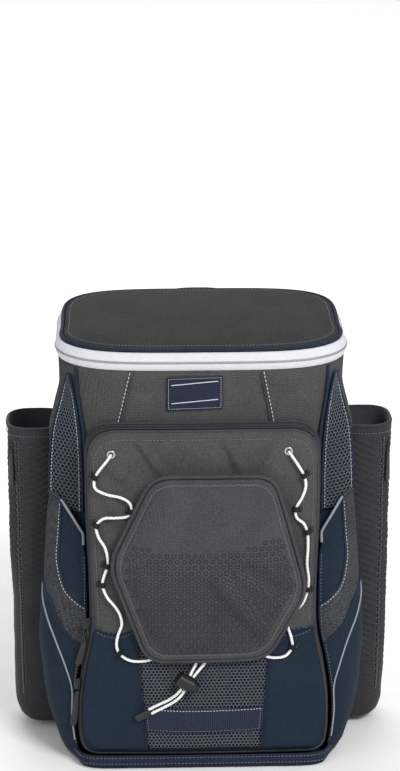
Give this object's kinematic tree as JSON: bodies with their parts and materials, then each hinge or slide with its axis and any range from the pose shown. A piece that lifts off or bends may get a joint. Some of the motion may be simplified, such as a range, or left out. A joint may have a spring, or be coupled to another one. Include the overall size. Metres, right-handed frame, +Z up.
{
  "type": "baseball bat backpack",
  "caption": "Upright sports backpack with a hollow zipped body, laced helmet flap, front and side pockets, open bat sleeves and padded shoulder straps.",
  "frame": {"origin": "on the underside of the base panel, midway between the bat sleeves, where it stands", "axes": "+Z up, the front pocket faces -Y, the shoulder straps are at +Y, +X is the right side as seen from the front, which is also the wearer's right"},
  "size_m": [0.444, 0.3401, 0.5104],
  "materials": {
    "charcoal_cloth": "heathered matte polyester",
    "navy_cloth": "matte coated polyester",
    "white_zip_tape": "smooth laminated zip tape",
    "dark_zip_tape": "ribbed matte zip tape",
    "netting": "open knitted spacer netting",
    "navy_webbing": "ribbed woven webbing",
    "label_cloth": "woven label with plain white lines",
    "white_elastic": "braided elastic sheath",
    "black_webbing": "woven webbing",
    "black_plastic": "satin moulded",
    "steel": "satin",
    "silver_piping": "reflective piping",
    "sleeve_cloth": "neoprene-backed cloth with raised wavy rows",
    "padded_cloth": "padded matte cloth",
    "spacer_mesh": "padded spacer mesh"
  },
  "bodies": {
    "root": {"back_panel": "spacer_mesh", "base_binding": "navy_cloth", "base_panel": "navy_cloth", "bat_sleeve_left": "sleeve_cloth", "bat_sleeve_right": "sleeve_cloth", "body_shell": "charcoal_cloth", "cord_lock": "black_plastic", "cord_tail_1": "white_elastic", "cord_tail_2": "white_elastic", "cord_tip": "black_plastic", "eyelet_left": "steel", "eyelet_right": "steel", "flap_binding": "charcoal_cloth", "front_pocket": "charcoal_cloth", "haul_handle": "black_webbing", "helmet_flap": "charcoal_cloth", "label_patch": "label_cloth", "lace_left": "white_elastic", "lace_loop_left_1": "black_webbing", "lace_loop_left_2": "black_webbing", "lace_loop_left_3": "black_webbing", "lace_loop_left_4": "black_webbing", "lace_loop_left_5": "black_webbing", "lace_loop_left_6": "black_webbing", "lace_loop_right_1": "black_webbing", "lace_loop_right_2": "black_webbing", "lace_loop_right_3": "black_webbing", "lace_loop_right_4": "black_webbing", "lace_loop_right_5": "black_webbing", "lace_right": "white_elastic", "lid_hinge": "charcoal_cloth", "lid_piping": "navy_cloth", "lid_top": "charcoal_cloth", "lower_panel_left": "navy_cloth", "lower_panel_right": "navy_cloth", "mesh_window": "netting", "pocket_pull_1": "black_plastic", "pocket_pull_2": "black_plastic", "pocket_slider_1": "black_plastic", "pocket_slider_2": "black_plastic", "pocket_trim_left": "silver_piping", "pocket_trim_right": "silver_piping", "pocket_zipper": "dark_zip_tape", "shoulder_strap_left": "padded_cloth", "shoulder_strap_right": "padded_cloth", "side_mesh_left": "netting", "side_mesh_right": "netting", "side_pocket_left": "navy_cloth", "side_pocket_right": "navy_cloth", "sleeve_pull_left": "black_plastic", "sleeve_pull_right": "black_plastic", "strap_buckle_left": "black_plastic", "strap_buckle_right": "black_plastic", "strap_webbing_left": "black_webbing", "strap_webbing_right": "black_webbing", "webbing_band": "navy_webbing", "zip_band_lower": "white_zip_tape", "zip_band_upper": "white_zip_tape"}
  },
  "joints": []
}
